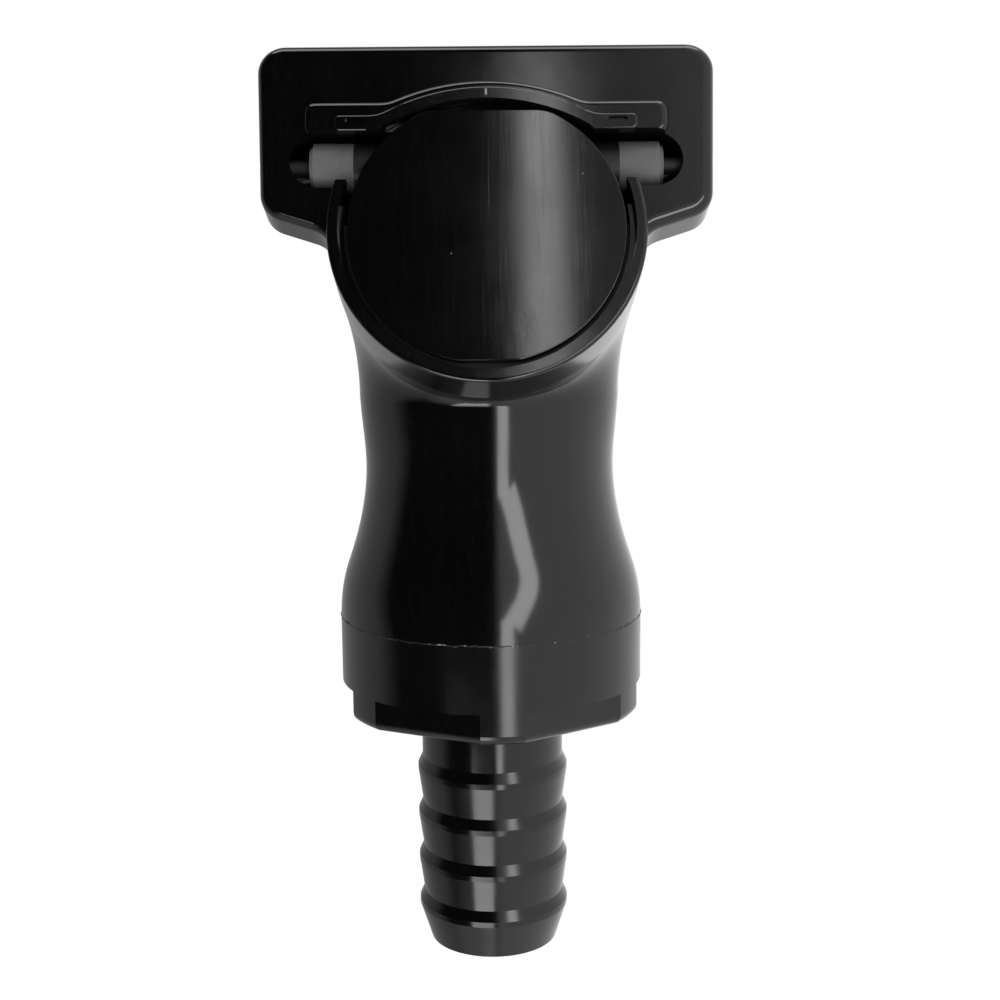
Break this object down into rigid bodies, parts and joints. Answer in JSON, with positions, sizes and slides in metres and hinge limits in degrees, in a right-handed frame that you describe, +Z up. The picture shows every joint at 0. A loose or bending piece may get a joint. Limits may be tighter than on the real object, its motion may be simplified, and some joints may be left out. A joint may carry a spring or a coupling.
{
  "type": "fill neck with hinged flap",
  "caption": "Side-mount fill neck: flanged mouth closed by a sprung inward flap, leaning neck, bulged float valve body with wrench flats and a barbed tail for a 38 mm hose.",
  "frame": {"origin": "midway between the two fixing holes, on the back face of the flange", "axes": "+Z up along the flange, -Y out of the mouth, +X to the right of someone facing the mouth; the neck leans 20 degrees back from -Z towards +Y"},
  "size_m": [0.108, 0.1177, 0.2164],
  "materials": {
    "neck_plastic": "moulded gloss black with fine scuffs",
    "cap_plastic": "moulded gloss black, dull weld bead at the seam",
    "flap_plastic": "polished black with fine upright scratches",
    "carrier_plastic": "satin black moulding",
    "plug_plastic": "satin black",
    "cage_plastic": "natural acetal",
    "seat_plastic": "natural acetal",
    "bush_plastic": "fine-textured dark grey moulding",
    "ball_plastic": "smooth white moulding with a parting line",
    "seal_rubber": "soft moulded rubber",
    "gasket_rubber": "die-cut sheet rubber",
    "pin_steel": "blackened stainless steel",
    "spring_steel": "drawn stainless wire",
    "screw_steel": "stainless steel",
    "insert_brass": "knurled turned brass"
  },
  "bodies": {
    "neck": {"neck_body": "neck_plastic", "tail_cap": "cap_plastic", "hinge_pin": "pin_steel", "pin_plug_left": "plug_plastic", "pin_plug_right": "plug_plastic", "torsion_spring_left": "spring_steel", "torsion_spring_right": "spring_steel", "seat_ring": "seat_plastic", "seat_seal": "seal_rubber", "ball_cage": "cage_plastic", "mounting_gasket": "gasket_rubber", "threaded_inserts": "insert_brass"},
    "flap": {"flap_disc": "flap_plastic", "flap_carrier": "carrier_plastic", "flap_seal": "seal_rubber", "flap_screws": "screw_steel", "hinge_bush_left": "bush_plastic", "hinge_bush_right": "bush_plastic"},
    "float": {"float_ball": "ball_plastic"}
  },
  "joints": [
    {"name": "flap_hinge", "type": "hinge", "parent": "neck", "child": "flap", "pos_m": [0, -0.0072, -0.016], "axis": [1, 0, 0], "range_deg": [0, 60], "stiffness_Nm_per_rad": 0.05, "springref_deg": -34.38, "deforming": ["torsion_spring_left", "torsion_spring_right"]},
    {"name": "float_slide", "type": "slide", "parent": "neck", "child": "float", "axis": [0, -0.342, 0.9397], "range_m": [0, 0.0205]}
  ]
}
